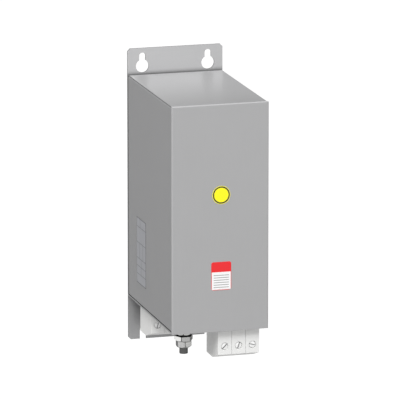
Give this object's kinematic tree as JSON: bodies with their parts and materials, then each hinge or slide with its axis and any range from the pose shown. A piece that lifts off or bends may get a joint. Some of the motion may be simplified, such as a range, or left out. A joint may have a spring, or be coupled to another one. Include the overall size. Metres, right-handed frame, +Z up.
{
  "type": "three-phase emc filter",
  "caption": "Tall sheet-metal filter case on a wall plate with keyholes, two three-pole cage-clamp terminal blocks and an earth stud below, ring chokes and capacitors inside.",
  "frame": {"origin": "centre of the back plate's rear face, which lies on the wall", "axes": "+Z up along the long side, -Y to the front, away from the wall, +X to the right seen from the front"},
  "size_m": [0.0902, 0.1502, 0.273],
  "materials": {
    "case_sheet": "satin",
    "sheet_inner": "satin",
    "fastener_steel": "zinc plated",
    "rivet_aluminium": "satin",
    "insulation_film": "satin",
    "terminal_plastic": "moulded",
    "clamp_steel": "yellow passivated",
    "screw_steel": "zinc plated",
    "bar_metal": "tin plated",
    "stud_steel": "dark",
    "nut_steel": "bright zinc",
    "washer_black": "black oxide",
    "core_coating": "epoxy coated core",
    "winding_copper": "enamelled",
    "divider_plastic": "moulded",
    "board_laminate": "printed board",
    "standoff_brass": "turned",
    "x_cap_case": "moulded box",
    "y_cap_case": "dipped",
    "resistor_body": "coated",
    "brown_lead": "insulated",
    "black_lead": "insulated",
    "yellow_sticker": "film",
    "white_sticker": "film",
    "silver_sticker": "film"
  },
  "bodies": {
    "case": {"back_plate": "case_sheet", "wrapper": "case_sheet", "front_panel": "case_sheet", "bottom_tray": "case_sheet", "spacer_strips": "sheet_inner", "corner_angles": "sheet_inner", "cover_screws": "fastener_steel", "press_nuts": "fastener_steel", "plate_rivets": "rivet_aluminium", "insulation_sheet": "insulation_film", "load_bars": "bar_metal", "line_bars": "bar_metal", "earth_stud": "stud_steel", "earth_washer": "nut_steel", "earth_upper_nut": "nut_steel", "rear_core": "core_coating", "front_core": "core_coating", "rear_windings": "winding_copper", "front_windings": "winding_copper", "rear_divider": "divider_plastic", "front_divider": "divider_plastic", "choke_pads": "divider_plastic", "choke_stud": "fastener_steel", "choke_clamp": "sheet_inner", "choke_nut": "fastener_steel", "capacitor_board": "board_laminate", "board_standoffs": "standoff_brass", "board_screws": "fastener_steel", "x_capacitors": "x_cap_case", "y_capacitors": "y_cap_case", "discharge_resistors": "resistor_body", "line_leads": "brown_lead", "load_leads": "black_lead", "link_leads": "winding_copper", "round_sticker": "yellow_sticker", "notice_sticker": "white_sticker", "rating_sticker": "silver_sticker", "load_housing_1": "terminal_plastic", "load_housing_2": "terminal_plastic", "load_housing_3": "terminal_plastic", "line_housing_1": "terminal_plastic", "line_housing_2": "terminal_plastic", "line_housing_3": "terminal_plastic"},
    "load_screw_1": {"load_screw_1": "screw_steel"},
    "load_cage_1": {"load_cage_1": "clamp_steel"},
    "load_screw_2": {"load_screw_2": "screw_steel"},
    "load_cage_2": {"load_cage_2": "clamp_steel"},
    "load_screw_3": {"load_screw_3": "screw_steel"},
    "load_cage_3": {"load_cage_3": "clamp_steel"},
    "line_screw_1": {"line_screw_1": "screw_steel"},
    "line_cage_1": {"line_cage_1": "clamp_steel"},
    "line_screw_2": {"line_screw_2": "screw_steel"},
    "line_cage_2": {"line_cage_2": "clamp_steel"},
    "line_screw_3": {"line_screw_3": "screw_steel"},
    "line_cage_3": {"line_cage_3": "clamp_steel"},
    "earth_clamp": {"lock_washer": "washer_black", "earth_collar": "nut_steel"},
    "earth_nut": {"earth_nut": "nut_steel"}
  },
  "joints": [
    {"name": "load_cage_1_slide", "type": "slide", "parent": "case", "child": "load_cage_1", "axis": [0, -1, 0], "range_m": [0, 0.0095]},
    {"name": "load_screw_1_turn", "type": "hinge", "parent": "case", "child": "load_screw_1", "pos_m": [0.00632, -0.1428, -0.11135], "axis": [0, 1, 0], "range_deg": [0, 4275.5]},
    {"name": "load_cage_2_slide", "type": "slide", "parent": "case", "child": "load_cage_2", "axis": [0, -1, 0], "range_m": [0, 0.0095]},
    {"name": "load_screw_2_turn", "type": "hinge", "parent": "case", "child": "load_screw_2", "pos_m": [0.01928, -0.1428, -0.11135], "axis": [0, 1, 0], "range_deg": [0, 4275.5]},
    {"name": "load_cage_3_slide", "type": "slide", "parent": "case", "child": "load_cage_3", "axis": [0, -1, 0], "range_m": [0, 0.0095]},
    {"name": "load_screw_3_turn", "type": "hinge", "parent": "case", "child": "load_screw_3", "pos_m": [0.03222, -0.1428, -0.11135], "axis": [0, 1, 0], "range_deg": [0, 4275.5]},
    {"name": "line_cage_1_slide", "type": "slide", "parent": "case", "child": "line_cage_1", "axis": [0, -1, 0], "range_m": [0, 0.0095]},
    {"name": "line_screw_1_turn", "type": "hinge", "parent": "case", "child": "line_screw_1", "pos_m": [-0.03083, -0.0521, -0.11135], "axis": [0, 1, 0], "range_deg": [0, 4275.5]},
    {"name": "line_cage_2_slide", "type": "slide", "parent": "case", "child": "line_cage_2", "axis": [0, -1, 0], "range_m": [0, 0.0095]},
    {"name": "line_screw_2_turn", "type": "hinge", "parent": "case", "child": "line_screw_2", "pos_m": [-0.01787, -0.0521, -0.11135], "axis": [0, 1, 0], "range_deg": [0, 4275.5]},
    {"name": "line_cage_3_slide", "type": "slide", "parent": "case", "child": "line_cage_3", "axis": [0, -1, 0], "range_m": [0, 0.0095]},
    {"name": "line_screw_3_turn", "type": "hinge", "parent": "case", "child": "line_screw_3", "pos_m": [-0.00492, -0.0521, -0.11135], "axis": [0, 1, 0], "range_deg": [0, 4275.5]},
    {"name": "earth_clamp_slide", "type": "slide", "parent": "case", "child": "earth_clamp", "axis": [0, 0, -1], "range_m": [0, 0.0055]},
    {"name": "earth_nut_turn", "type": "hinge", "parent": "earth_clamp", "child": "earth_nut", "pos_m": [-0.0255, -0.1195, -0.115], "axis": [0, 0, -1], "range_deg": [0, 1584.5]}
  ],
  "couplings": [
    {"joint": "load_screw_1_turn", "follows": "load_cage_1_slide", "rad_per_m": 7854},
    {"joint": "load_screw_2_turn", "follows": "load_cage_2_slide", "rad_per_m": 7854},
    {"joint": "load_screw_3_turn", "follows": "load_cage_3_slide", "rad_per_m": 7854},
    {"joint": "line_screw_1_turn", "follows": "line_cage_1_slide", "rad_per_m": 7854},
    {"joint": "line_screw_2_turn", "follows": "line_cage_2_slide", "rad_per_m": 7854},
    {"joint": "line_screw_3_turn", "follows": "line_cage_3_slide", "rad_per_m": 7854},
    {"joint": "earth_nut_turn", "follows": "earth_clamp_slide", "rad_per_m": 5026.5}
  ]
}
